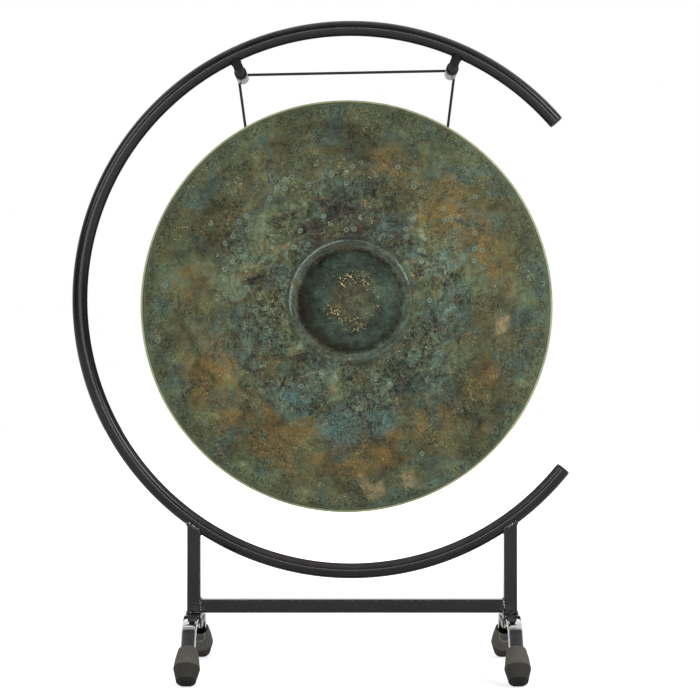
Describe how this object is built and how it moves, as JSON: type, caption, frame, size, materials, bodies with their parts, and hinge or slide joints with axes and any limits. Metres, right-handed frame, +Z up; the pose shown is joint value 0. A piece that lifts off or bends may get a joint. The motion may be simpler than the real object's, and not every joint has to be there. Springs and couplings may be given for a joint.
{
  "type": "gong stand",
  "caption": "Free-standing gong stand: an open ring of tube on a square tube base with folding legs, and a bossed gong hung in it by a cord over two pegs.",
  "frame": {"origin": "on the floor, under the centre of the whole object's bounding box", "axes": "+Z up, +X to the right seen from the front, where the ring's mouth is, +Y to the rear, where the gong hangs"},
  "size_m": [0.7182, 0.3492, 0.9399],
  "materials": {
    "black_paint": "satin black powder coat on steel tube and sheet",
    "cap_plastic": "matt black moulded plastic",
    "leg_chrome": "bright chrome plate on pressed steel",
    "rivet_zinc": "plated steel rivet",
    "foot_rubber": "moulded dark grey rubber",
    "sleeve_vinyl": "soft translucent grey vinyl tube",
    "cord_braid": "black braided cord",
    "gong_bronze": "hand-hammered bronze with a mottled green, blue and brown patina"
  },
  "bodies": {
    "frame": {"ring_tube": "black_paint", "upper_end_cap": "cap_plastic", "lower_end_cap": "cap_plastic", "left_upright": "black_paint", "right_upright": "black_paint", "crossbar": "black_paint", "left_peg": "black_paint", "right_peg": "black_paint", "left_peg_sleeve": "sleeve_vinyl", "right_peg_sleeve": "sleeve_vinyl", "left_leg_bracket": "black_paint", "right_leg_bracket": "black_paint", "front_left_pivot_rivet": "rivet_zinc", "rear_left_pivot_rivet": "rivet_zinc", "front_right_pivot_rivet": "rivet_zinc", "rear_right_pivot_rivet": "rivet_zinc", "cord_span": "cord_braid"},
    "front_left_leg_body": {"front_left_leg": "leg_chrome", "front_left_foot": "foot_rubber"},
    "rear_left_leg_body": {"rear_left_leg": "leg_chrome", "rear_left_foot": "foot_rubber"},
    "front_right_leg_body": {"front_right_leg": "leg_chrome", "front_right_foot": "foot_rubber"},
    "rear_right_leg_body": {"rear_right_leg": "leg_chrome", "rear_right_foot": "foot_rubber"},
    "gong_body": {"gong": "gong_bronze", "left_cord_drop": "cord_braid", "right_cord_drop": "cord_braid"}
  },
  "joints": [
    {"name": "front_left_leg_fold", "type": "hinge", "parent": "frame", "child": "front_left_leg_body", "pos_m": [-0.18312, -0.0362, 0.0735], "axis": [1, 0, 0], "range_deg": [0, 60]},
    {"name": "rear_left_leg_fold", "type": "hinge", "parent": "frame", "child": "rear_left_leg_body", "pos_m": [-0.18312, 0.0038, 0.0735], "axis": [-1, 0, 0], "range_deg": [0, 60]},
    {"name": "front_right_leg_fold", "type": "hinge", "parent": "frame", "child": "front_right_leg_body", "pos_m": [0.27408, -0.0362, 0.0735], "axis": [1, 0, 0], "range_deg": [0, 60]},
    {"name": "rear_right_leg_fold", "type": "hinge", "parent": "frame", "child": "rear_right_leg_body", "pos_m": [0.27408, 0.0038, 0.0735], "axis": [-1, 0, 0], "range_deg": [0, 60]},
    {"name": "gong_swing", "type": "hinge", "parent": "frame", "child": "gong_body", "pos_m": [-0.12525, 0.1157, 0.87213], "axis": [0.9998, 0, 0.0195], "range_deg": [-20, 20]}
  ]
}
